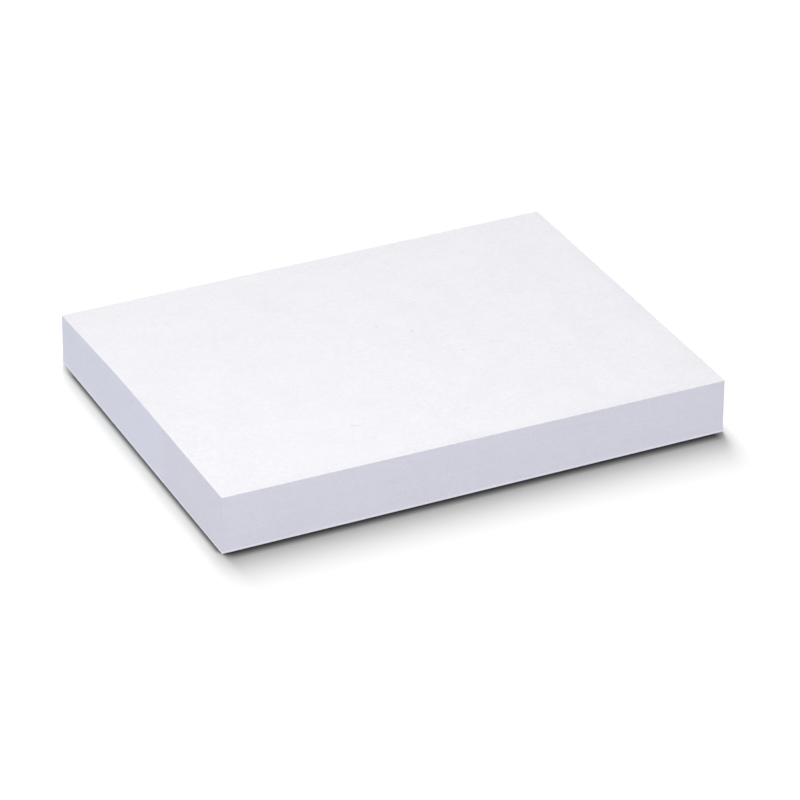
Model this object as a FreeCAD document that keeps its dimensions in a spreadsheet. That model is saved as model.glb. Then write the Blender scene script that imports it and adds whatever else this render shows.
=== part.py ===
# Blank white sticky note pad, lying flat as it does on a desk.
#
# The pad is a guillotined stack of loose notes on one release-coated backing sheet. Every note
# carries a band of low-tack adhesive under its front long edge, so the stack is a little
# thicker along that glued edge than along the free back edge. It is thickest at the front
# left corner: the left end stays level for about half its depth and then slopes down to the
# free edge, while the right end slopes down over nearly its whole depth.
#
# Millimetres. +X runs along the long edges, -Y points out of the glued edge and +Z is up.
# The origin is the middle of the underside.

import FreeCAD, Part
import Sketcher
import math
import os

# Alias, value and meaning of each driving size.
DRIVING_SIZES = (
    ("note_length", 100.0, "long side of a note"),
    ("note_depth", 75.0, "short side of a note"),
    ("note_count", 100.0, "notes in the pad"),
    ("note_thickness", 0.1, "one note of plain 80 gram paper"),
    ("backing_thickness", 0.1, "release-coated sheet under the last note"),
    ("glue_left", 0.013, "adhesive under each note, at the left end of the glued edge"),
    ("glue_right", 0.0065, "adhesive under each note, at the right end of the glued edge"),
    ("level_left", 38.0, "depth of the level stretch behind the glued edge, at the left end"),
    ("level_right", 4.0, "depth of the level stretch behind the glued edge, at the right end"),
    ("bend_left", 14.0, "depth over which the level bends into the slope, at the left end"),
    ("bend_right", 8.0, "depth over which the level bends into the slope, at the right end"),
    ("corner_blunting", 0.15, "radius that handling leaves on the cut upright corners"),
)

# Alias, formula and meaning of each size that follows from the driving ones.
DERIVED_SIZES = (
    ("free_height", "backing_thickness + note_count * note_thickness",
     "underside to top note at the free edge"),
    ("left_height", "free_height + note_count * glue_left",
     "underside to top note at the left end of the glued edge"),
    ("right_height", "free_height + note_count * glue_right",
     "underside to top note at the right end of the glued edge"),
    ("rough_height", "left_height + right_height",
     "top of the rough block, clear of both ends, before its top is shaped"),
)

TITLE_ROW = 1
NAME_COLUMN, VALUE_COLUMN, NOTE_COLUMN = "A", "B", "C"

# What a sketch calls the two ends of a curve, and its own origin.
FIRST, LAST = 1, 2
ORIGIN = (-1, 1)


def make_sizes(doc):
    """Writes the driving and the derived sizes to a spreadsheet, one row each."""
    sheet = doc.addObject("Spreadsheet::Sheet", "sizes")
    row = TITLE_ROW
    for column, title in ((NAME_COLUMN, "Size"), (VALUE_COLUMN, "Value"), (NOTE_COLUMN, "Meaning")):
        sheet.set(f"{column}{row}", title)
    for alias, value, meaning in DRIVING_SIZES:
        row += 1
        sheet.set(f"{NAME_COLUMN}{row}", alias)
        sheet.set(f"{VALUE_COLUMN}{row}", str(value))
        sheet.set(f"{NOTE_COLUMN}{row}", meaning)
        sheet.setAlias(f"{VALUE_COLUMN}{row}", alias)
    doc.recompute()
    for alias, formula, meaning in DERIVED_SIZES:
        row += 1
        sheet.set(f"{NAME_COLUMN}{row}", alias)
        sheet.set(f"{VALUE_COLUMN}{row}", "=" + formula)
        sheet.set(f"{NOTE_COLUMN}{row}", meaning)
        sheet.setAlias(f"{VALUE_COLUMN}{row}", alias)
        doc.recompute()
    return sheet


def origin_plane(body, role):
    """One of the body's own origin planes, found by its role."""
    return next(p for p in body.Origin.OriginFeatures if p.Role == role)


def new_sketch(body, name, role):
    """An empty sketch on one of the body's origin planes."""
    sketch = body.newObject("Sketcher::SketchObject", name)
    sketch.AttachmentSupport = (origin_plane(body, role), [""])
    sketch.MapMode = "FlatFace"
    return sketch


def bind(sketch, kind, *places, formula, start):
    """Adds a dimension to the sketch and ties it to the formula; start is its first value."""
    index = sketch.addConstraint(Sketcher.Constraint(kind, *places, start))
    sketch.setExpression(f"Constraints[{index}]", formula)


def make_block(body, sizes, bottom_formula, height_formula):
    """A block of cut paper: the outline of a note, drawn upwards."""
    sketch = new_sketch(body, "note_outline", "XY_Plane")
    sketch.setExpression(".AttachmentOffset.Base.z", bottom_formula)
    half_length, half_depth = sizes.note_length / 2, sizes.note_depth / 2
    corners = [
        FreeCAD.Vector(across * half_length, along * half_depth, 0)
        for across, along in ((-1, -1), (1, -1), (1, 1), (-1, 1))
    ]
    sides = sketch.addGeometry(
        [Part.LineSegment(corners[k - 1], corners[k]) for k in range(len(corners))], False)
    for k, side in enumerate(sides):
        following = sides[(k + 1) % len(sides)]
        sketch.addConstraint(Sketcher.Constraint("Coincident", side, LAST, following, FIRST))
    left, front, right, back = sides
    for line in (front, back):
        sketch.addConstraint(Sketcher.Constraint("Horizontal", line))
    for line in (left, right):
        sketch.addConstraint(Sketcher.Constraint("Vertical", line))
    sketch.addConstraint(Sketcher.Constraint("Symmetric", front, FIRST, back, FIRST, *ORIGIN))
    bind(sketch, "DistanceX", front, FIRST, front, LAST,
         formula="sizes.note_length", start=sizes.note_length)
    bind(sketch, "DistanceY", right, FIRST, right, LAST,
         formula="sizes.note_depth", start=sizes.note_depth)

    block = body.newObject("PartDesign::Pad", "block")
    block.Profile = sketch
    block.setExpression("Length", height_formula)
    return block


def blunt_upright_corners(body, feature):
    """Rounds the four upright edges of the feature, where the cuts through the paper meet."""
    body.Document.recompute()
    upright = []
    for number, edge in enumerate(feature.Shape.Edges, start=1):
        direction = edge.tangentAt(edge.FirstParameter)
        if abs(direction.z) > 0.5:
            upright.append(f"Edge{number}")
    blunted = body.newObject("PartDesign::Fillet", "blunted_corners")
    blunted.Base = (feature, upright)
    blunted.setExpression("Radius", "sizes.corner_blunting")


def make_top_section(body, sizes, side, place_formula):
    """What is cut away above the top note, in section at the pad's left or right end.

    The sketch lies across the pad: its first axis is the pad's +Y and its second is +Z. Its
    lower side is the top note, which is level behind the glued edge, bends down along an arc
    and then slopes straight to the free edge.
    """
    sketch = new_sketch(body, f"top_at_{side}_end", "YZ_Plane")
    sketch.setExpression(".AttachmentOffset.Base.z", place_formula)

    front, back = -sizes.note_depth / 2, sizes.note_depth / 2
    glued, free, rough = getattr(sizes, f"{side}_height"), sizes.free_height, sizes.rough_height
    level_depth, bend_depth = getattr(sizes, f"level_{side}"), getattr(sizes, f"bend_{side}")
    bend_start = front + level_depth
    bend_end = bend_start + bend_depth
    # The two tangents of the arc meet close to the middle of it.
    slope_angle = math.atan((glued - free) / (back - bend_start - bend_depth / 2))
    radius = bend_depth / math.sin(slope_angle)
    slope_top = glued - radius * (1 - math.cos(slope_angle))

    def point(across, up):
        return FreeCAD.Vector(across, up, 0)

    circle = Part.Circle(point(bend_start, glued - radius), FreeCAD.Vector(0, 0, 1), radius)
    level, bend, slope, back_side, lid, front_side = sketch.addGeometry([
        Part.LineSegment(point(front, glued), point(bend_start, glued)),
        Part.ArcOfCircle(circle, math.pi / 2 - slope_angle, math.pi / 2),
        Part.LineSegment(point(bend_end, slope_top), point(back, free)),
        Part.LineSegment(point(back, free), point(back, rough)),
        Part.LineSegment(point(back, rough), point(front, rough)),
        Part.LineSegment(point(front, rough), point(front, glued)),
    ], False)
    sketch.addConstraint(Sketcher.Constraint("Tangent", level, LAST, bend, LAST))
    sketch.addConstraint(Sketcher.Constraint("Tangent", bend, FIRST, slope, FIRST))
    joins = (
        (slope, LAST, back_side, FIRST), (back_side, LAST, lid, FIRST),
        (lid, LAST, front_side, FIRST), (front_side, LAST, level, FIRST),
    )
    for join in joins:
        sketch.addConstraint(Sketcher.Constraint("Coincident", *join))
    for line in (level, lid):
        sketch.addConstraint(Sketcher.Constraint("Horizontal", line))
    for line in (back_side, front_side):
        sketch.addConstraint(Sketcher.Constraint("Vertical", line))

    bind(sketch, "DistanceX", level, FIRST, *ORIGIN, formula="sizes.note_depth / 2", start=back)
    bind(sketch, "DistanceX", *ORIGIN, slope, LAST, formula="sizes.note_depth / 2", start=back)
    bind(sketch, "DistanceY", *ORIGIN, lid, FIRST, formula="sizes.rough_height", start=rough)
    bind(sketch, "DistanceY", *ORIGIN, slope, LAST, formula="sizes.free_height", start=free)
    bind(sketch, "DistanceY", *ORIGIN, level, FIRST, formula=f"sizes.{side}_height", start=glued)
    bind(sketch, "DistanceX", level, FIRST, level, LAST,
         formula=f"sizes.level_{side}", start=level_depth)
    bind(sketch, "DistanceX", bend, LAST, bend, FIRST,
         formula=f"sizes.bend_{side}", start=bend_depth)
    return sketch


def make_note_sheets(doc, sizes):
    """The whole stack of notes: a cut block whose top follows the build-up of adhesive."""
    body = doc.addObject("PartDesign::Body", "note_sheets")
    body.Label = "note_sheets"
    make_block(body, sizes, "sizes.backing_thickness", "sizes.rough_height - sizes.backing_thickness")
    left = make_top_section(body, sizes, "left", "-sizes.note_length / 2")
    right = make_top_section(body, sizes, "right", "sizes.note_length / 2")
    shaped = body.newObject("PartDesign::SubtractiveLoft", "shaped_top")
    shaped.Profile = left
    shaped.Sections = [right]
    shaped.Ruled = True
    blunt_upright_corners(body, shaped)
    return body


def make_backing_sheet(doc, sizes):
    """The sheet under the last note, which keeps its adhesive off the desk."""
    body = doc.addObject("PartDesign::Body", "backing_sheet")
    body.Label = "backing_sheet"
    block = make_block(body, sizes, "0", "sizes.backing_thickness")
    blunt_upright_corners(body, block)
    return body


def check_document(doc, bodies):
    """Stops the macro if any object failed or a sub-part is not one sound solid."""
    for item in doc.Objects:
        if "Invalid" in item.State or "Error" in item.State:
            raise RuntimeError(f"{item.Name} failed to build: {item.State}")
    for body in bodies:
        shape = body.Shape
        if shape.isNull() or not shape.isValid() or len(shape.Solids) != 1:
            raise RuntimeError(f"{body.Label} is not one sound solid")


def main():
    doc = FreeCAD.newDocument("sticky_note_pad")
    sizes = make_sizes(doc)
    bodies = [make_note_sheets(doc, sizes), make_backing_sheet(doc, sizes)]
    doc.recompute()
    check_document(doc, bodies)
    os.makedirs("parts", exist_ok=True)
    for body in bodies:
        body.Shape.exportStep(f"parts/{body.Label}.step")
        box = body.Shape.BoundBox
        print(f"{body.Label}: {box.XLength:.2f} x {box.YLength:.2f} x {box.ZLength:.3f} mm, "
              f"z {box.ZMin:.3f} to {box.ZMax:.3f}, {body.Shape.Volume / 1000:.2f} cubic cm")


main()
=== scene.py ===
"""A blank white sticky note pad, dressed on its construction model.

The loose notes are one closed stack. One note's cut edge is modelled, repeated for every note of
the pad and closed above and below with the faces of the top and the lowest note. The stack is
then roughened as a guillotine leaves it and pressed into the wedge of the construction model.
The backing sheet is the construction model's own. Lengths are in metres.
"""

import math

import bmesh
import bpy
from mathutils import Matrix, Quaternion, Vector


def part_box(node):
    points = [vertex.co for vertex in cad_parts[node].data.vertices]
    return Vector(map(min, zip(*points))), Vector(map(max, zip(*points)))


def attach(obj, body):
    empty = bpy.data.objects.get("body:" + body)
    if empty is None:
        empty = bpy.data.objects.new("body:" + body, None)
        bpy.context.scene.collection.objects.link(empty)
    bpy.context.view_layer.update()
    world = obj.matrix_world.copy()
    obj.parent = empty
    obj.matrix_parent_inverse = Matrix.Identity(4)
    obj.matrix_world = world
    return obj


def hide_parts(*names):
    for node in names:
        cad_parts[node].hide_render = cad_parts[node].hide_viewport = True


bl_info = {
    "name": "Sticky Note Pad",
    "version": (1, 0, 0),
    "blender": (4, 5, 0),
    "location": "View3D > Sidebar > Note Pad",
    "description": "Builds a blank white sticky note pad with its paper and its stage",
    "category": "Add Mesh",
}

MM = 0.001
WHITE = (1.0, 1.0, 1.0)

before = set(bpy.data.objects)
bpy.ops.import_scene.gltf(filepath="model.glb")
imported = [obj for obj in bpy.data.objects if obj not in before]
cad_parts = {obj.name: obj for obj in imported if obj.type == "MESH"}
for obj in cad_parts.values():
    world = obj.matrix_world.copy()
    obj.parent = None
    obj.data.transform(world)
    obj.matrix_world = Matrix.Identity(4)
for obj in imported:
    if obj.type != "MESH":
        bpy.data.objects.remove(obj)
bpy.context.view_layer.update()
STACK_LOW, STACK_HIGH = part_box("note_sheets")
FRONT = STACK_LOW.y

# Columns and rows of the lattice that presses the stack, and how far inside the outline the
# construction model's top is measured for it.
PRESS_COLUMNS, PRESS_ROWS = 11, 31
PRESS_INSET = 0.2 * MM

# Noises in the paper: features in a metre, detail and roughness.
NOTE_CLOUDS = (150, 4, 0.6)
NOTE_TOOTH = (3200, 3, 0.75)
CUT_TOOTH = (2800, 3, 0.75)
MOTTLE = (900, 3, 0.6)
BACKING_CLOUDS = (220, 3, 0.6)
BACKING_TOOTH = (4200, 2, 0.6)
# Nearly all values of a noise lie in this range.
NOISE_RANGE = (0.3, 0.7)

# Stretched patterns: features in a metre along each axis.
FIBRES = (500, 5200, 500)
SINGLE_NOTES = (90, 90, 9000)
PACKETS = (60, 60, 900)
BLADE_MARKS = (1400, 1400, 45)
# Where in its noise a fibre starts and is whole, and how the fibres lie in each paper.
FIBRE_RANGE = (0.60, 0.74)
NOTE_FIBRE_TURNS = (0.4, 1.5, 2.6)
BACKING_FIBRE_TURNS = (0.9, 2.2)

# How much the clouds, mottle, tooth and fibres change the colour of a note.
NOTE_SWINGS = (0.08, 0.09, 0.27, 0.03)
# How much the single notes, packets, blade marks, mottle and tooth change that of the cut edges.
CUT_SWINGS = (0.05, 0.03, 0.02, 0.06, 0.24)
# The shade of the clouds in the backing paper, and how much its fibres lighten it.
BACKING_CLOUD_SHADE = 0.955
BACKING_FIBRE_TINT = 0.08

NOTE_ROUGHNESS = (0.80, 0.94)
BACKING_ROUGHNESS = (0.42, 0.56)
CUT_ROUGHNESS = 0.92
GLUED_ROUGHNESS = 0.72

# Share of a fleck's half length that is fully dark.
FLECK_CORE = 0.35
# Dark flecks in the top note: middle, half length, half width, turn and strength.
TOP_FLECKS = (
    ((1.04 * MM, 7.62 * MM), 0.62 * MM, 0.22 * MM, 1.12, 0.22),
    ((6.40 * MM, 3.43 * MM), 0.66 * MM, 0.34 * MM, 1.12, 0.17),
    ((11.85 * MM, -7.25 * MM), 0.50 * MM, 0.20 * MM, 1.12, 0.26),
    ((-18.34 * MM, -24.30 * MM), 1.25 * MM, 0.22 * MM, -0.45, 0.22),
)
# The one dark fleck on the left cut face, given in the same way.
LEFT_FLECK = ((STACK_LOW.x, 3.1 * MM, 9.65 * MM), 0.28 * MM, 0.60 * MM, 0.0, 0.32)

# The dark line where the pad meets the floor is a shade painted into the floor's colour, two shades
# one on the other: how far each reaches, how far its light leans towards the back, and the open
# shares of the sky at which it is black and clear.
CONTACT_SHADES = (
    (3 * MM, math.radians(75), 0.302, 0.896),
    (2 * MM, math.radians(-30), 0.424, 0.927),
)
# The lamps are behind the pad, so the shades weaken towards its right end and its back: the share
# of them that is left there, and between which places they weaken.
RIGHT_FADE = (0.22, STACK_HIGH.x - 2.0 * MM, STACK_HIGH.x)
BACK_FADE = (0.05, STACK_HIGH.y - 6.0 * MM, STACK_HIGH.y - 1.0 * MM)
# What comes back of them right behind the pad, and between which places.
BACK_RETURN = (0.40, STACK_HIGH.y, STACK_HIGH.y + 0.3 * MM)

# Where the lamps stand and how wide and tall they are. The two fills share one place.
KEY_PLACE = (0.08, 0.85, 1.30)
KEY_SIZE = (0.33, 0.82)
KEY_COLOUR = (1.0, 1.0, 0.86)
FLOOR_LAMP_PLACE = (0.112, 0.792, 1.227)
FLOOR_LAMP_SIZE = (0.618, 1.295)
FILL_PLACE = (-0.062, -0.079, 0.211)
FILL_SIZE = (0.104, 0.104)

FLOOR_SIZE = 8
# The floor lies this far below the pad, so that the two don't share a plane.
FLOOR_DROP = 0.01 * MM
SENSOR_WIDTH = 36
CLIP_START, CLIP_END = 10 * MM, 20


class PadSizes(bpy.types.PropertyGroup):
    """Sizes of the notes that the construction model doesn't hold."""

    note_count: bpy.props.IntProperty(
        name="Notes", description="Loose notes in the pad", default=100, min=2)
    rim_setback: bpy.props.FloatProperty(
        name="Rim setback", description="How far the rims of a cut note stand back from its edge",
        default=0.03 * MM, unit="LENGTH", precision=5)
    rim_share: bpy.props.FloatProperty(
        name="Rim share", description="Share of a note's thickness that each rim takes up",
        default=0.13, min=0.0, max=0.45, subtype="FACTOR")
    corner_blunting: bpy.props.FloatProperty(
        name="Corner blunting", description="Radius that handling leaves on the cut corners",
        default=0.15 * MM, unit="LENGTH", precision=5)
    corner_steps: bpy.props.IntProperty(
        name="Corner steps", description="Faces round each blunted corner", default=3, min=1)
    steps_along: bpy.props.IntProperty(
        name="Steps along", description="Faces along a long edge", default=44, min=2)
    steps_across: bpy.props.IntProperty(
        name="Steps across", description="Faces along a short edge", default=32, min=2)
    cut_wander: bpy.props.FloatProperty(
        name="Cut wander", description="How far the edges of the notes stray behind the cut",
        default=0.04 * MM, unit="LENGTH", precision=5)
    cut_draw: bpy.props.FloatProperty(
        name="Cut draw", description="How far the blade drew in the short edges of the top note",
        default=0.09 * MM, unit="LENGTH", precision=5)
    wander_length: bpy.props.FloatProperty(
        name="Wander length", description="Distance along a note over which its edge strays",
        default=16 * MM, unit="LENGTH")


class PaperLook(bpy.types.PropertyGroup):
    """Colours and finish of the paper, and the highlights painted along its rims and lowest notes.
    """

    note_colour: bpy.props.FloatVectorProperty(
        name="Note", description="Face of the uncoated note paper",
        default=(0.890, 0.882, 0.912), size=3, min=0.0, max=1.0, subtype="COLOR")
    edge_colour: bpy.props.FloatVectorProperty(
        name="Cut edge", description="Guillotined edges of the notes",
        default=(0.874, 0.884, 0.970), size=3, min=0.0, max=1.0, subtype="COLOR")
    glued_colour: bpy.props.FloatVectorProperty(
        name="Glued edge", description="Cut edges of the notes where they hold adhesive",
        default=(0.845, 0.845, 0.918), size=3, min=0.0, max=1.0, subtype="COLOR")
    backing_colour: bpy.props.FloatVectorProperty(
        name="Backing", description="Release-coated backing sheet",
        default=(0.955, 0.955, 0.970), size=3, min=0.0, max=1.0, subtype="COLOR")
    fleck_colour: bpy.props.FloatVectorProperty(
        name="Fleck", description="Stray dark fibres in the paper",
        default=(0.30, 0.30, 0.32), size=3, min=0.0, max=1.0, subtype="COLOR")
    glued_depth: bpy.props.FloatProperty(
        name="Glued depth", description="Depth of the adhesive band behind the front edge",
        default=26 * MM, unit="LENGTH")
    glued_fade: bpy.props.FloatProperty(
        name="Glued fade", description="Distance over which the adhesive band ends",
        default=5 * MM, unit="LENGTH")
    # Painted highlight: the rim of the notes is lightened in their colour, as a rim that catches
    # the light would look.
    rim_highlight_width: bpy.props.FloatProperty(
        name="Rim width", description="Width of the pressed rim that the blade leaves on a note",
        default=0.3 * MM, unit="LENGTH", precision=5)
    rim_highlight_gain: bpy.props.FloatProperty(
        name="Rim gain", description="How much lighter the pressed rim is",
        default=0.02, subtype="FACTOR")
    # Painted highlight: a lighter band is painted into the cut edges of the lowest notes, where
    # light from the floor would brighten them.
    foot_highlight_height: bpy.props.FloatProperty(
        name="Foot height", description="Height of the clean lowest notes at the cut edges",
        default=0.28 * MM, unit="LENGTH", precision=5)
    foot_highlight_fade: bpy.props.FloatProperty(
        name="Foot fade", description="Height over which the lighter lowest notes end",
        default=0.07 * MM, unit="LENGTH", precision=5)
    foot_highlight_gain: bpy.props.FloatProperty(
        name="Foot gain", description="How much lighter the edges of the lowest notes are",
        default=0.14, subtype="FACTOR")


class StageLook(bpy.types.PropertyGroup):
    """Camera, lamps and floor."""

    view_turn: bpy.props.FloatProperty(
        name="View turn", description="Turn of the camera round the pad, from straight ahead",
        default=math.radians(-25.72), subtype="ANGLE")
    view_height: bpy.props.FloatProperty(
        name="View height", description="Height of the camera above the horizon",
        default=math.radians(29.99), subtype="ANGLE")
    view_roll: bpy.props.FloatProperty(
        name="View roll", description="Lean of the camera about its own line of sight",
        default=math.radians(0.36), subtype="ANGLE")
    view_distance: bpy.props.FloatProperty(
        name="View distance", description="From the camera to the point that it looks at",
        default=806 * MM, unit="LENGTH")
    aim: bpy.props.FloatVectorProperty(
        name="Aim", description="Point on the floor that the camera looks at",
        default=(1.34 * MM, -2.09 * MM, 0.0), size=3, subtype="TRANSLATION")
    lens: bpy.props.FloatProperty(
        name="Lens", description="Focal length in millimetres", default=195.65)
    sky_strength: bpy.props.FloatProperty(
        name="Sky", description="Even light from all round", default=0.537)
    sky_colour: bpy.props.FloatVectorProperty(
        name="Sky colour", description="Colour of the even light",
        default=(1.0, 1.0, 1.09), size=3, min=0.0, subtype="COLOR")
    key_power: bpy.props.FloatProperty(
        name="Key", description="Tall lamp behind the pad", default=7.5, unit="POWER")
    fill_power: bpy.props.FloatProperty(
        name="Fill", description="Small lamp over the near left corner", default=0.13, unit="POWER")
    floor_power: bpy.props.FloatProperty(
        name="Floor lamp", description="Tall lamp behind the pad that lights only the floor",
        default=50.9, unit="POWER")
    floor_fill_power: bpy.props.FloatProperty(
        name="Floor fill", description="Small lamp that lights only the floor and casts no shadow",
        default=0.194, unit="POWER")
    floor_colour: bpy.props.FloatVectorProperty(
        name="Floor", description="Floor as it is seen",
        default=(0.421, 0.421, 0.393), size=3, min=0.0, max=1.0, subtype="COLOR")
    far_floor_gain: bpy.props.FloatProperty(
        name="Far floor gain", description="How much lighter the floor is painted far from the pad",
        default=1.2, subtype="FACTOR")
    far_floor: bpy.props.FloatProperty(
        name="Far floor", description="Distance from the pad at which the floor is lightest",
        default=1500 * MM, unit="LENGTH")
    near_floor: bpy.props.FloatProperty(
        name="Near floor", description="Distance from the pad up to which the floor is plain",
        default=20 * MM, unit="LENGTH")
    floor_bounce: bpy.props.FloatProperty(
        name="Floor bounce", description="Light that the floor throws up at the pad",
        default=0.93)


def choose(piece, mode, test):
    """Selects, in edit mode, just the vertices, edges or faces of the piece that pass the test."""
    bpy.ops.mesh.select_mode(type=mode)
    bpy.ops.mesh.select_all(action="DESELECT")
    shape = bmesh.from_edit_mesh(piece.data)
    elements = {"VERT": shape.verts, "EDGE": shape.edges, "FACE": shape.faces}[mode]
    for element in elements:
        if test(element):
            element.select = True
    shape.select_flush_mode()
    bmesh.update_edit_mesh(piece.data)


def pick(*pieces):
    """Selects just these objects, the first of them active."""
    bpy.ops.object.select_all(action="DESELECT")
    for piece in pieces:
        piece.select_set(True)
    bpy.context.view_layer.objects.active = pieces[0]


def add_note_face(sizes):
    """The face of one note, inside its rim, with blunted corners, on the floor of the stack."""
    setback = sizes.rim_setback
    middle = (STACK_LOW + STACK_HIGH) / 2
    bpy.ops.object.select_all(action="DESELECT")
    bpy.ops.mesh.primitive_grid_add(
        x_subdivisions=sizes.steps_along, y_subdivisions=sizes.steps_across, size=1,
        location=(middle.x, middle.y, STACK_LOW.z))
    face = bpy.context.object
    face.name = "note_face"
    face.scale.x = STACK_HIGH.x - STACK_LOW.x - 2 * setback
    face.scale.y = STACK_HIGH.y - STACK_LOW.y - 2 * setback
    bpy.ops.object.transform_apply(location=True, rotation=True, scale=True)
    bpy.ops.object.mode_set(mode="EDIT")
    choose(face, "VERT", lambda vertex: len(vertex.link_edges) == 2)
    bpy.ops.mesh.bevel(
        affect="VERTICES", offset=sizes.corner_blunting - setback, segments=sizes.corner_steps)
    bpy.ops.object.mode_set(mode="OBJECT")
    return face


def add_cut_edge(face, sizes, thickness):
    """The cut edge of one note, drawn up from the outline of its face: rim, middle and rim."""
    pick(face)
    bpy.ops.object.duplicate()
    edge = bpy.context.object
    edge.name = "note_stack"
    middle = (STACK_LOW + STACK_HIGH) / 2
    length = STACK_HIGH.x - STACK_LOW.x
    depth = STACK_HIGH.y - STACK_LOW.y
    outward = Vector((length / (length - 2 * sizes.rim_setback),
                      depth / (depth - 2 * sizes.rim_setback), 1))
    inward = Vector((1 / outward.x, 1 / outward.y, 1))
    rim = thickness * sizes.rim_share

    bpy.ops.object.mode_set(mode="EDIT")
    bpy.ops.mesh.select_mode(type="EDGE")
    bpy.ops.mesh.select_all(action="SELECT")
    bpy.ops.mesh.region_to_loop()
    for rise, spread in ((rim, outward), (thickness - 2 * rim, None), (rim, inward)):
        bpy.ops.mesh.extrude_region_move(TRANSFORM_OT_translate={"value": (0, 0, rise)})
        if spread:
            bpy.ops.transform.resize(value=spread, center_override=middle)
    # Only the drawn edge is repeated, so the face that it was drawn from goes.
    lowest = STACK_LOW.z + rim / 2
    choose(edge, "FACE", lambda facet: all(vertex.co.z < lowest for vertex in facet.verts))
    bpy.ops.mesh.delete(type="FACE")
    bpy.ops.object.mode_set(mode="OBJECT")
    return edge


def repeat_upwards(edge, sizes, thickness):
    """Repeats the cut edge for every note of the pad, each standing on the last."""
    pick(edge)
    stacking = edge.modifiers.new("stacking", "ARRAY")
    stacking.count = sizes.note_count
    stacking.use_relative_offset = False
    stacking.use_constant_offset = True
    stacking.constant_offset_displace = (0, 0, thickness)
    stacking.use_merge_vertices = True
    stacking.merge_threshold = 0.1 * thickness * sizes.rim_share
    bpy.ops.object.modifier_apply(modifier=stacking.name)


def close_stack(edge, face):
    """Closes the repeated edges with the face of the lowest note and that of the top note."""
    pick(face)
    bpy.ops.object.duplicate()
    top = bpy.context.object
    top.location.z = STACK_HIGH.z - STACK_LOW.z
    bpy.ops.object.transform_apply(location=True, rotation=True, scale=True)
    pick(edge, face, top)
    bpy.ops.object.join()
    bpy.ops.object.mode_set(mode="EDIT")
    bpy.ops.mesh.select_all(action="SELECT")
    bpy.ops.mesh.remove_doubles(threshold=0.001 * MM)
    bpy.ops.mesh.normals_make_consistent(inside=False)
    bpy.ops.object.mode_set(mode="OBJECT")
    return edge


def roughen_cut(stack, sizes, thickness):
    """Lets the edge of each note stray a little behind the cut, never in front of it."""
    pick(stack)
    stack.vertex_groups.new(name="cut_edges")
    bpy.ops.object.mode_set(mode="EDIT")
    choose(stack, "FACE", lambda face: abs(face.normal.z) < 0.99)
    bpy.ops.object.vertex_group_assign()
    bpy.ops.object.mode_set(mode="OBJECT")

    bpy.ops.object.empty_add(location=STACK_LOW)
    grain = bpy.context.object
    grain.scale = (sizes.wander_length, sizes.wander_length, thickness)
    wander = bpy.data.textures.new("cut_wander", type="CLOUDS")
    wander.noise_scale = 1.0
    wander.noise_depth = 1
    pick(stack)
    straying = stack.modifiers.new("straying", "DISPLACE")
    straying.texture = wander
    straying.texture_coords = "OBJECT"
    straying.texture_coords_object = grain
    straying.vertex_group = "cut_edges"
    straying.mid_level = 1.0
    straying.strength = sizes.cut_wander
    bpy.ops.object.modifier_apply(modifier=straying.name)
    bpy.data.objects.remove(grain)


def keep_note_level(stack):
    """Stores how high each point lies in the level stack, for patterns that follow the notes."""
    level = stack.data.attributes.new("note_level", "FLOAT", "POINT")
    level.data.foreach_set("value", [vertex.co.z for vertex in stack.data.vertices])


def construction_top(across, along):
    """Height of the construction model's top note at a place on the pad."""
    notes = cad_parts["note_sheets"]
    above = Vector((across, along, 2 * STACK_HIGH.z))
    hit, place, *_ = notes.ray_cast(above, Vector((0, 0, -1)))
    if not hit:
        raise RuntimeError(f"the construction model has no top note at {across}, {along}")
    return place.z


def press_into_wedge(stack, sizes):
    """Presses the level stack down with a lattice, so that its top follows the built one.

    The same lattice draws the short edges of the upper notes in, as the blade did.
    """
    middle = (STACK_LOW + STACK_HIGH) / 2
    size = STACK_HIGH - STACK_LOW
    bpy.ops.object.add(type="LATTICE", location=middle)
    press = bpy.context.object
    press.scale = size
    press.data.points_u = PRESS_COLUMNS
    press.data.points_v = PRESS_ROWS
    press.data.points_w = 2
    for direction in ("u", "v", "w"):
        setattr(press.data, f"interpolation_type_{direction}", "KEY_LINEAR")
    # The lower points come first and stay, and only the upper ones are moved.
    for point in press.data.points[PRESS_COLUMNS * PRESS_ROWS:]:
        across = middle.x + point.co.x * (size.x - 2 * PRESS_INSET)
        along = middle.y + point.co.y * (size.y - 2 * PRESS_INSET)
        height = construction_top(across, along)
        point.co_deform.x *= 1 - 2 * sizes.cut_draw / size.x
        point.co_deform.z = (height - middle.z) / size.z
    pick(stack)
    pressing = stack.modifiers.new("pressing", "LATTICE")
    pressing.object = press
    bpy.ops.object.modifier_apply(modifier=pressing.name)
    bpy.data.objects.remove(press)


def new_material(name):
    """An empty material, its node tree and the shader that everything leads to."""
    material = bpy.data.materials.new(name)
    material.use_nodes = True
    tree = material.node_tree
    tree.nodes.clear()
    output = add_node(tree, "ShaderNodeOutputMaterial", (900, 0))
    shader = add_node(tree, "ShaderNodeBsdfPrincipled", (600, 0))
    tree.links.new(shader.outputs["BSDF"], output.inputs["Surface"])
    return material, tree, shader


def add_node(tree, kind, place, **settings):
    """Adds a node and sets its own settings."""
    node = tree.nodes.new(kind)
    node.location = place
    for setting, value in settings.items():
        setattr(node, setting, value)
    return node


def add_noise(tree, place, vector, scale=1.0, detail=2.0, roughness=0.5):
    """A noise texture on the vector; its scale counts features in a metre."""
    noise = add_node(tree, "ShaderNodeTexNoise", place)
    tree.links.new(vector, noise.inputs["Vector"])
    noise.inputs["Scale"].default_value = scale
    noise.inputs["Detail"].default_value = detail
    noise.inputs["Roughness"].default_value = roughness
    return noise.outputs["Fac"]


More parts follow.
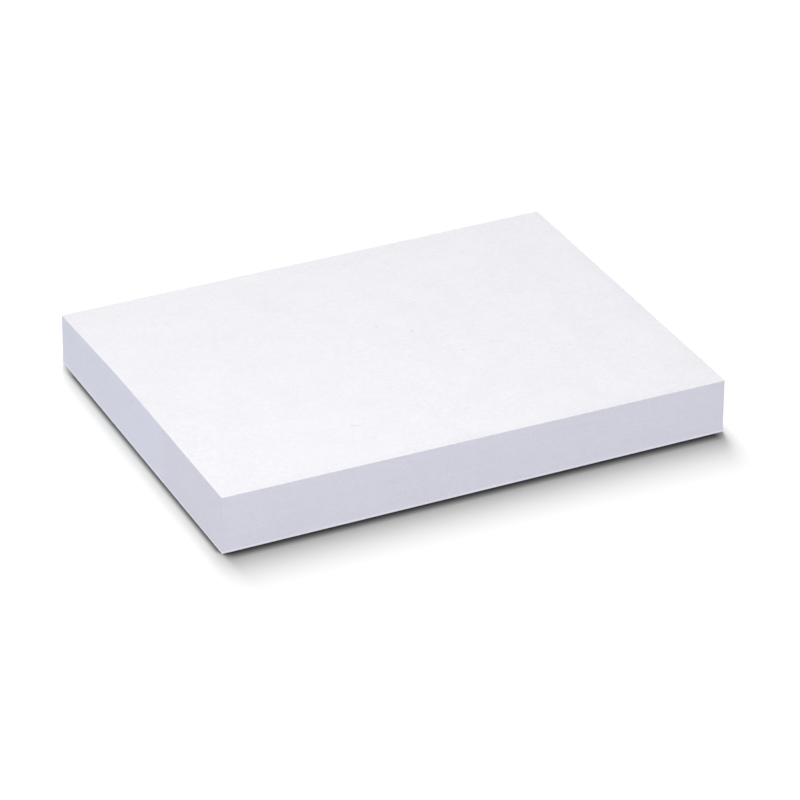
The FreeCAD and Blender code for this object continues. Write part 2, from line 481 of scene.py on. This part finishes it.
def add_range(tree, place, value, low, high, from_low, from_high, smooth=False):
    """Maps the value from one range to another and keeps it inside the new one."""
    node = add_node(tree, "ShaderNodeMapRange", place)
    node.interpolation_type = "SMOOTHSTEP" if smooth else "LINEAR"
    tree.links.new(value, node.inputs["Value"])
    node.inputs["From Min"].default_value = from_low
    node.inputs["From Max"].default_value = from_high
    node.inputs["To Min"].default_value = low
    node.inputs["To Max"].default_value = high
    return node.outputs["Result"]


def add_maths(tree, place, operation, first, second=None):
    """What the operation makes of a socket, and of a second socket or number if it takes one."""
    node = add_node(tree, "ShaderNodeMath", place, operation=operation)
    tree.links.new(first, node.inputs[0])
    if isinstance(second, bpy.types.NodeSocket):
        tree.links.new(second, node.inputs[1])
    elif second is not None:
        node.inputs[1].default_value = second
    return node.outputs["Value"]


def add_mapping(tree, place, vector, kind="POINT", location=(0, 0, 0), rotation=(0, 0, 0),
                scale=(1, 1, 1)):
    """Moves, turns and stretches the vector that a pattern is laid on."""
    node = add_node(tree, "ShaderNodeMapping", place, vector_type=kind)
    tree.links.new(vector, node.inputs["Vector"])
    node.inputs["Location"].default_value = location
    node.inputs["Rotation"].default_value = rotation
    node.inputs["Scale"].default_value = scale
    return node.outputs["Vector"]


def add_mix(tree, place, factor, first, second, blend="MIX"):
    """Mixes two colours, each a socket or a plain colour, by a socket or number."""
    node = add_node(tree, "ShaderNodeMix", place, data_type="RGBA", blend_type=blend)
    sockets = (node.inputs[0], node.inputs[6], node.inputs[7])
    for socket, value in zip(sockets, (factor, first, second)):
        if isinstance(value, bpy.types.NodeSocket):
            tree.links.new(value, socket)
        elif isinstance(value, (int, float)):
            socket.default_value = value
        else:
            socket.default_value = (*value, 1.0)
    return node.outputs[2]


def add_shade(tree, place, colour, noises, swings):
    """Lightens and darkens a plain colour by noises, each by its whole swing."""
    x, y = place
    total = None
    rest = 1 - sum(swings) / 2
    for noise, swing in zip(noises, swings):
        step = add_node(tree, "ShaderNodeMath", (x, y), operation="MULTIPLY_ADD")
        tree.links.new(noise, step.inputs[0])
        step.inputs[1].default_value = swing
        if total is None:
            step.inputs[2].default_value = rest
        else:
            tree.links.new(total, step.inputs[2])
        total = step.outputs["Value"]
        x += 180
    return add_mix(tree, (x, y), 1.0, colour, total, blend="MULTIPLY")


def add_length(tree, place, vector):
    """How long the vector is."""
    node = add_node(tree, "ShaderNodeVectorMath", place, operation="LENGTH")
    tree.links.new(vector, node.inputs[0])
    return node.outputs["Value"]


def add_fleck(tree, place, vector, middle, half_length, half_width, turn, strength):
    """How strongly one dark fleck covers the paper."""
    x, y = place
    local = add_mapping(
        tree, (x, y), vector, kind="TEXTURE", location=middle, rotation=(0, 0, turn),
        scale=(half_length, half_width, half_length))
    distance = add_length(tree, (x + 180, y), local)
    return add_range(tree, (x + 360, y), distance, strength, 0.0, FLECK_CORE, 1.0, smooth=True)


def add_fibres(tree, place, vector, turns):
    """Short fibres that lie across each other: one stretched noise for each turn."""
    x, y = place
    total = None
    for number, turn in enumerate(turns):
        row = y - 260 * number
        along = add_mapping(tree, (x, row), vector, rotation=(0, 0, turn), scale=FIBRES)
        strands = add_noise(tree, (x + 180, row), along, detail=1.0)
        strands = add_range(tree, (x + 360, row), strands, 0.0, 1.0, *FIBRE_RANGE, smooth=True)
        total = strands if total is None else add_maths(
            tree, (x + 540, row), "MAXIMUM", total, strands)
    return total


def make_note_paper(look):
    """Uncoated note paper: cloudy, faintly fibrous, matte, with a few stray dark fibres."""
    material, tree, shader = new_material("uncoated_paper")
    coordinates = add_node(tree, "ShaderNodeTexCoord", (-1900, 0)).outputs["Object"]

    clouds = add_noise(tree, (-1500, 600), coordinates, *NOTE_CLOUDS)
    mottle = add_noise(tree, (-1500, 350), coordinates, *MOTTLE)
    tooth = add_noise(tree, (-1500, 100), coordinates, *NOTE_TOOTH)
    fibres = add_fibres(tree, (-1700, -150), coordinates, NOTE_FIBRE_TURNS)
    colour = add_shade(
        tree, (-1100, 500), look.note_colour, (clouds, mottle, tooth, fibres), NOTE_SWINGS)
    # Painted highlight along the cut outline of the notes.
    colour = add_painted_rim_highlight(tree, (0, 700), coordinates, colour, look)

    # The flecks are laid out on a level sheet, however high the top note lies under them.
    level = add_mapping(
        tree, (-1700, -1000), coordinates, scale=(1, 1, 0), location=(0, 0, STACK_HIGH.z))
    flecks = None
    for number, (middle, *shape) in enumerate(TOP_FLECKS):
        row = -1000 - 260 * number
        fleck = add_fleck(tree, (-1500, row), level, (*middle, STACK_HIGH.z), *shape)
        flecks = fleck if flecks is None else add_maths(
            tree, (-900, row), "MAXIMUM", flecks, fleck)
    colour = add_mix(tree, (0, 400), flecks, colour, look.fleck_colour)
    tree.links.new(colour, shader.inputs["Base Color"])

    roughness = add_range(tree, (200, 0), mottle, *NOTE_ROUGHNESS, *NOISE_RANGE)
    tree.links.new(roughness, shader.inputs["Roughness"])
    height = add_maths(tree, (-500, -200), "ADD", tooth, fibres)
    height = add_maths(tree, (-300, -200), "ADD", height, mottle)
    add_bump(tree, shader, height, strength=0.5, distance=0.006 * MM)
    return material


def add_painted_rim_highlight(tree, place, vector, colour, look):
    """Lightens the colour along the cut outline of the notes, softly from the rim's width on: a
    painted highlight where a rim would catch the light.
    """
    x, y = place
    outside = add_outside(tree, (x - 1000, y), vector)
    half = look.rim_highlight_width / 2
    gain = add_range(
        tree, (x - 200, y), outside, 1.0, 1.0 + look.rim_highlight_gain, -3 * half, -half)
    return add_mix(tree, (x, y), 1.0, colour, gain, blend="MULTIPLY")


def add_bump(tree, shader, height, strength, distance):
    """Raises the surface by the height."""
    bump = add_node(tree, "ShaderNodeBump", (300, -300))
    bump.inputs["Strength"].default_value = strength
    bump.inputs["Distance"].default_value = distance
    tree.links.new(height, bump.inputs["Height"])
    tree.links.new(bump.outputs["Normal"], shader.inputs["Normal"])


def make_cut_paper(look):
    """The guillotined edges: each note its own shade, faint blade marks, adhesive at the front, and
    a painted highlight along the lowest notes.
    """
    material, tree, shader = new_material("cut_paper")
    coordinates = add_node(tree, "ShaderNodeTexCoord", (-2100, 0)).outputs["Object"]
    split = add_node(tree, "ShaderNodeSeparateXYZ", (-1900, 300))
    tree.links.new(coordinates, split.inputs["Vector"])
    level = add_node(tree, "ShaderNodeAttribute", (-1900, 100), attribute_name="note_level")
    in_stack = add_node(tree, "ShaderNodeCombineXYZ", (-1700, 200))
    tree.links.new(split.outputs["X"], in_stack.inputs["X"])
    tree.links.new(split.outputs["Y"], in_stack.inputs["Y"])
    tree.links.new(level.outputs["Fac"], in_stack.inputs["Z"])
    in_stack = in_stack.outputs["Vector"]

    notes = add_mapping(tree, (-1500, 600), in_stack, scale=SINGLE_NOTES)
    notes = add_noise(tree, (-1300, 600), notes, detail=1.0)
    packets = add_mapping(tree, (-1500, 350), in_stack, scale=PACKETS)
    packets = add_noise(tree, (-1300, 350), packets)
    blade = add_mapping(tree, (-1500, 100), coordinates, scale=BLADE_MARKS)
    blade = add_noise(tree, (-1300, 100), blade)
    mottle = add_noise(tree, (-1300, -150), coordinates, *MOTTLE)
    tooth = add_noise(tree, (-1300, -400), coordinates, *CUT_TOOTH)

    glued = add_range(
        tree, (-1100, 900), split.outputs["Y"], 1.0, 0.0,
        FRONT + look.glued_depth - look.glued_fade / 2,
        FRONT + look.glued_depth + look.glued_fade / 2, smooth=True)
    plain = add_mix(tree, (-900, 900), glued, look.edge_colour, look.glued_colour)
    colour = add_shade(
        tree, (-700, 500), plain, (notes, packets, blade, mottle, tooth), CUT_SWINGS)
    # Painted highlight: the cut edges are lighter up to the foot's height above the floor.
    painted_foot_highlight = add_range(
        tree, (0, 800), level.outputs["Fac"], 1.0 + look.foot_highlight_gain, 1.0,
        STACK_LOW.z + look.foot_highlight_height, STACK_LOW.z + look.foot_highlight_height + look.foot_highlight_fade)
    colour = add_mix(tree, (200, 700), 1.0, colour, painted_foot_highlight, blend="MULTIPLY")
    fleck = add_fleck(tree, (-1100, -700), coordinates, *LEFT_FLECK)
    colour = add_mix(tree, (300, 500), fleck, colour, look.fleck_colour)
    tree.links.new(colour, shader.inputs["Base Color"])

    rough = add_range(tree, (100, 100), glued, CUT_ROUGHNESS, GLUED_ROUGHNESS, 0.0, 1.0)
    tree.links.new(rough, shader.inputs["Roughness"])
    height = add_maths(tree, (-500, -300), "ADD", tooth, blade)
    height = add_maths(tree, (-300, -300), "ADD", height, mottle)
    add_bump(tree, shader, height, strength=0.6, distance=0.012 * MM)
    return material


def make_backing_paper(look):
    """Release-coated paper: whiter and smoother than the notes, with a faint fibre pattern."""
    material, tree, shader = new_material("release_paper")
    coordinates = add_node(tree, "ShaderNodeTexCoord", (-1500, 0)).outputs["Object"]
    clouds = add_noise(tree, (-1100, 400), coordinates, *BACKING_CLOUDS)
    tooth = add_noise(tree, (-1100, 150), coordinates, *BACKING_TOOTH)
    fibres = add_fibres(tree, (-1300, -150), coordinates, BACKING_FIBRE_TURNS)
    dark = tuple(BACKING_CLOUD_SHADE * part for part in look.backing_colour)
    shade = add_range(tree, (-700, 400), clouds, 0.0, 1.0, *NOISE_RANGE)
    colour = add_mix(tree, (-300, 400), shade, dark, look.backing_colour)
    fibre_tint = add_maths(tree, (-500, 0), "MULTIPLY", fibres, BACKING_FIBRE_TINT)
    colour = add_mix(tree, (0, 300), fibre_tint, colour, WHITE)
    tree.links.new(colour, shader.inputs["Base Color"])
    roughness = add_range(tree, (0, 0), tooth, *BACKING_ROUGHNESS, *NOISE_RANGE)
    tree.links.new(roughness, shader.inputs["Roughness"])
    height = add_maths(tree, (-300, -200), "ADD", tooth, fibres)
    add_bump(tree, shader, height, strength=0.3, distance=0.004 * MM)
    return material


def add_outside(tree, place, vector):
    """How far a place is outside the outline of the pad; inside, it is negative."""
    x, y = place
    split = add_node(tree, "ShaderNodeSeparateXYZ", (x, y))
    tree.links.new(vector, split.inputs["Vector"])
    beyond = []
    for axis, side in (("X", STACK_HIGH.x), ("Y", STACK_HIGH.y)):
        distance = add_maths(tree, (x + 200, y), "ABSOLUTE", split.outputs[axis])
        beyond.append(add_maths(tree, (x + 400, y), "SUBTRACT", distance, side))
        y -= 200
    return add_maths(tree, (x + 600, y), "MAXIMUM", *beyond)


def make_floor_paint(look):
    """A pale floor: it throws even light up at the pad, and a shade is painted into its colour
    where the pad touches it.
    """
    material = bpy.data.materials.new("floor_paint")
    material.use_nodes = True
    tree = material.node_tree
    tree.nodes.clear()
    output = add_node(tree, "ShaderNodeOutputMaterial", (600, 0))
    bounce = add_node(tree, "ShaderNodeEmission", (0, 600))
    bounce.inputs["Strength"].default_value = look.floor_bounce
    plain = add_node(tree, "ShaderNodeBsdfDiffuse", (0, 400))
    shaded = add_node(tree, "ShaderNodeBsdfDiffuse", (0, 0))
    colour = look.floor_colour
    for number, (reach, lean, black, clear) in enumerate(CONTACT_SHADES):
        row = -260 * number
        normal = add_node(tree, "ShaderNodeCombineXYZ", (-1200, row))
        normal.inputs["Y"].default_value = math.sin(lean)
        normal.inputs["Z"].default_value = math.cos(lean)
        open_sky = add_node(tree, "ShaderNodeAmbientOcclusion", (-1000, row), samples=64)
        open_sky.inputs["Distance"].default_value = reach
        tree.links.new(normal.outputs["Vector"], open_sky.inputs["Normal"])
        shade = add_range(
            tree, (-800, row), open_sky.outputs["AO"], 0.0, 1.0, black, clear, smooth=True)
        colour = add_mix(tree, (-600 + 200 * number, row), 1.0, colour, shade, blend="MULTIPLY")
    tree.links.new(colour, shaded.inputs["Color"])

    # The floor is painted lighter far from the pad, where the light of the lamps falls off.
    coordinates = add_node(tree, "ShaderNodeTexCoord", (-1200, 900)).outputs["Object"]
    outside = add_outside(tree, (-1000, 900), coordinates)
    gain = add_range(tree, (-400, 600), outside, 1.0, 1.0 + look.far_floor_gain,
                     look.near_floor, look.far_floor)
    colour = add_mix(tree, (-200, 600), 1.0, look.floor_colour, gain, blend="MULTIPLY")
    tree.links.new(colour, plain.inputs["Color"])

    # Away from the pad the shades are clear, and left out because they take long to work out.
    furthest = max(reach for reach, *_ in CONTACT_SHADES)
    near = add_maths(tree, (-200, 900), "LESS_THAN", outside, furthest)
    split = add_node(tree, "ShaderNodeSeparateXYZ", (-1000, 1300))
    tree.links.new(coordinates, split.inputs["Vector"])
    to_right = add_range(tree, (-600, 1200), split.outputs["X"], 1.0, *RIGHT_FADE)
    to_back = add_range(tree, (-600, 1460), split.outputs["Y"], 1.0, *BACK_FADE)
    behind = add_range(tree, (-600, 1720), split.outputs["Y"], 0.0, *BACK_RETURN)
    to_back = add_maths(tree, (-400, 1600), "ADD", to_back, behind)
    near = add_maths(tree, (0, 1100), "MULTIPLY", near, to_right)
    near = add_maths(tree, (200, 1100), "MULTIPLY", near, to_back)
    shown = add_shader_mix(tree, (200, 200), near, plain.outputs["BSDF"], shaded.outputs["BSDF"])
    seen = add_seen(tree, (0, 900))
    mix = add_shader_mix(tree, (400, 300), seen, bounce.outputs["Emission"], shown)
    tree.links.new(mix, output.inputs["Surface"])
    return material


def add_shader_mix(tree, place, factor, first, second):
    """Passes from one shader to another as the factor goes from nought to one."""
    mix = add_node(tree, "ShaderNodeMixShader", place)
    for socket, value in zip(mix.inputs, (factor, first, second)):
        tree.links.new(value, socket)
    return mix.outputs["Shader"]


def add_seen(tree, place):
    """One where a surface is seen, straight or in gloss or glass, and nought where it lights."""
    x, y = place
    path = add_node(tree, "ShaderNodeLightPath", (x - 400, y))
    seen = add_maths(tree, (x - 200, y), "MAXIMUM",
                     path.outputs["Is Camera Ray"], path.outputs["Is Glossy Ray"])
    return add_maths(tree, (x, y), "MAXIMUM", seen, path.outputs["Is Transmission Ray"])


def make_sky(look):
    """Even light all round, which shows as plain white."""
    world = bpy.data.worlds.new("studio")
    bpy.context.scene.world = world
    world.use_nodes = True
    tree = world.node_tree
    tree.nodes.clear()
    output = add_node(tree, "ShaderNodeOutputWorld", (500, 0))
    light = add_node(tree, "ShaderNodeBackground", (0, 0))
    light.inputs["Color"].default_value = (*look.sky_colour, 1.0)
    light.inputs["Strength"].default_value = look.sky_strength
    shown = add_node(tree, "ShaderNodeBackground", (0, -200))
    shown.inputs["Color"].default_value = (*WHITE, 1.0)
    shown.inputs["Strength"].default_value = 1.0
    seen = add_seen(tree, (-200, 200))
    mix = add_shader_mix(
        tree, (250, 0), seen, light.outputs["Background"], shown.outputs["Background"])
    tree.links.new(mix, output.inputs["Surface"])


def add_lamp(name, place, size, power, colour):
    """A soft lamp, so wide and so tall, that shines at the middle of the pad."""
    bpy.ops.object.light_add(type="AREA", location=place)
    lamp = bpy.context.object
    lamp.name = name
    lamp.data.shape = "RECTANGLE"
    lamp.data.size, lamp.data.size_y = size
    lamp.data.energy = power
    lamp.data.color = colour
    aim = Vector((0, 0, STACK_HIGH.z)) - lamp.location
    lamp.rotation_euler = aim.to_track_quat("-Z", "Y").to_euler()
    return lamp


def link_light(lamp, floor, state):
    """Lets the lamp light only the floor, or everything but the floor."""
    linked = bpy.data.collections.new(f"{lamp.name}_link")
    linked.objects.link(floor)
    linked.collection_objects[0].light_linking.link_state = state
    lamp.light_linking.receiver_collection = linked


def add_lamps(look, floor):
    """Two lamps for the pad, and two that shape its shadow on the floor."""
    key_lamp = add_lamp("key_lamp", KEY_PLACE, KEY_SIZE, look.key_power, KEY_COLOUR)
    link_light(key_lamp, floor, "EXCLUDE")
    fill_lamp = add_lamp("fill_lamp", FILL_PLACE, FILL_SIZE, look.fill_power, WHITE)
    link_light(fill_lamp, floor, "EXCLUDE")
    floor_fill = add_lamp("floor_fill", FILL_PLACE, FILL_SIZE, look.floor_fill_power, WHITE)
    floor_fill.data.use_shadow = False
    link_light(floor_fill, floor, "INCLUDE")
    floor_lamp = add_lamp(
        "floor_lamp", FLOOR_LAMP_PLACE, FLOOR_LAMP_SIZE, look.floor_power, look.sky_colour)
    link_light(floor_lamp, floor, "INCLUDE")


def add_camera(look):
    """A camera that looks down at the pad from beyond its front left corner."""
    toward = Vector((
        math.sin(look.view_turn) * math.cos(look.view_height),
        -math.cos(look.view_turn) * math.cos(look.view_height),
        math.sin(look.view_height)))
    bpy.ops.object.camera_add(location=Vector(look.aim) + toward * look.view_distance)
    camera = bpy.context.object
    camera.rotation_mode = "QUATERNION"
    upright = (-toward).to_track_quat("-Z", "Y")
    camera.rotation_quaternion = upright @ Quaternion((0, 0, 1), look.view_roll)
    camera.data.sensor_width = SENSOR_WIDTH
    camera.data.lens = look.lens
    camera.data.clip_start = CLIP_START
    camera.data.clip_end = CLIP_END
    bpy.context.scene.camera = camera


class NOTEPAD_OT_note_stack(bpy.types.Operator):
    """Models the loose notes as one stack of cut paper"""

    bl_idname = "notepad.note_stack"
    bl_label = "Note Stack"
    bl_options = {"REGISTER", "UNDO"}

    def execute(self, context):
        sizes, look = context.scene.pad_sizes, context.scene.paper_look
        thickness = (STACK_HIGH.z - STACK_LOW.z) / sizes.note_count
        face = add_note_face(sizes)
        edge = add_cut_edge(face, sizes, thickness)
        edge.data.materials.append(make_cut_paper(look))
        face.data.materials.append(make_note_paper(look))
        repeat_upwards(edge, sizes, thickness)
        stack = close_stack(edge, face)
        roughen_cut(stack, sizes, thickness)
        keep_note_level(stack)
        press_into_wedge(stack, sizes)
        pick(stack)
        bpy.ops.object.shade_smooth_by_angle(angle=math.radians(30))
        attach(stack, "root")
        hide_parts("note_sheets")
        return {"FINISHED"}


class NOTEPAD_OT_backing_sheet(bpy.types.Operator):
    """Finishes the backing sheet as release-coated paper"""

    bl_idname = "notepad.backing_sheet"
    bl_label = "Backing Sheet"
    bl_options = {"REGISTER", "UNDO"}

    def execute(self, context):
        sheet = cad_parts["backing_sheet"]
        sheet.data.materials.clear()
        sheet.data.materials.append(make_backing_paper(context.scene.paper_look))
        return {"FINISHED"}


class NOTEPAD_OT_stage(bpy.types.Operator):
    """Sets up the floor, the lamps and the camera"""

    bl_idname = "notepad.stage"
    bl_label = "Stage"
    bl_options = {"REGISTER", "UNDO"}

    def execute(self, context):
        look = context.scene.stage_look
        bpy.ops.object.select_all(action="DESELECT")
        bpy.ops.mesh.primitive_plane_add(size=FLOOR_SIZE, location=(0, 0, -FLOOR_DROP))
        floor = context.object
        floor.name = "floor"
        floor.data.materials.append(make_floor_paint(look))
        make_sky(look)
        add_lamps(look, floor)
        add_camera(look)
        context.scene.view_settings.view_transform = "Standard"
        return {"FINISHED"}


class NOTEPAD_PT_build(bpy.types.Panel):
    """Lists what the script builds"""

    bl_idname = "NOTEPAD_PT_build"
    bl_label = "Note Pad"
    bl_space_type = "VIEW_3D"
    bl_region_type = "UI"
    bl_category = "Note Pad"

    def draw(self, context):
        column = self.layout.column()
        for operator in OPERATORS:
            column.operator(operator.bl_idname)
        for group in (context.scene.pad_sizes, context.scene.paper_look, context.scene.stage_look):
            box = self.layout.box()
            for name in group.__annotations__:
                box.prop(group, name)


OPERATORS = (NOTEPAD_OT_note_stack, NOTEPAD_OT_backing_sheet, NOTEPAD_OT_stage)
CLASSES = (PadSizes, PaperLook, StageLook, *OPERATORS, NOTEPAD_PT_build)


def register():
    for each in CLASSES:
        bpy.utils.register_class(each)
    bpy.types.Scene.pad_sizes = bpy.props.PointerProperty(type=PadSizes)
    bpy.types.Scene.paper_look = bpy.props.PointerProperty(type=PaperLook)
    bpy.types.Scene.stage_look = bpy.props.PointerProperty(type=StageLook)


def unregister():
    del bpy.types.Scene.stage_look
    del bpy.types.Scene.paper_look
    del bpy.types.Scene.pad_sizes
    for each in reversed(CLASSES):
        bpy.utils.unregister_class(each)


def main():
    register()
    bpy.ops.notepad.note_stack()
    bpy.ops.notepad.backing_sheet()
    bpy.ops.notepad.stage()


if __name__ == "__main__":
    main()
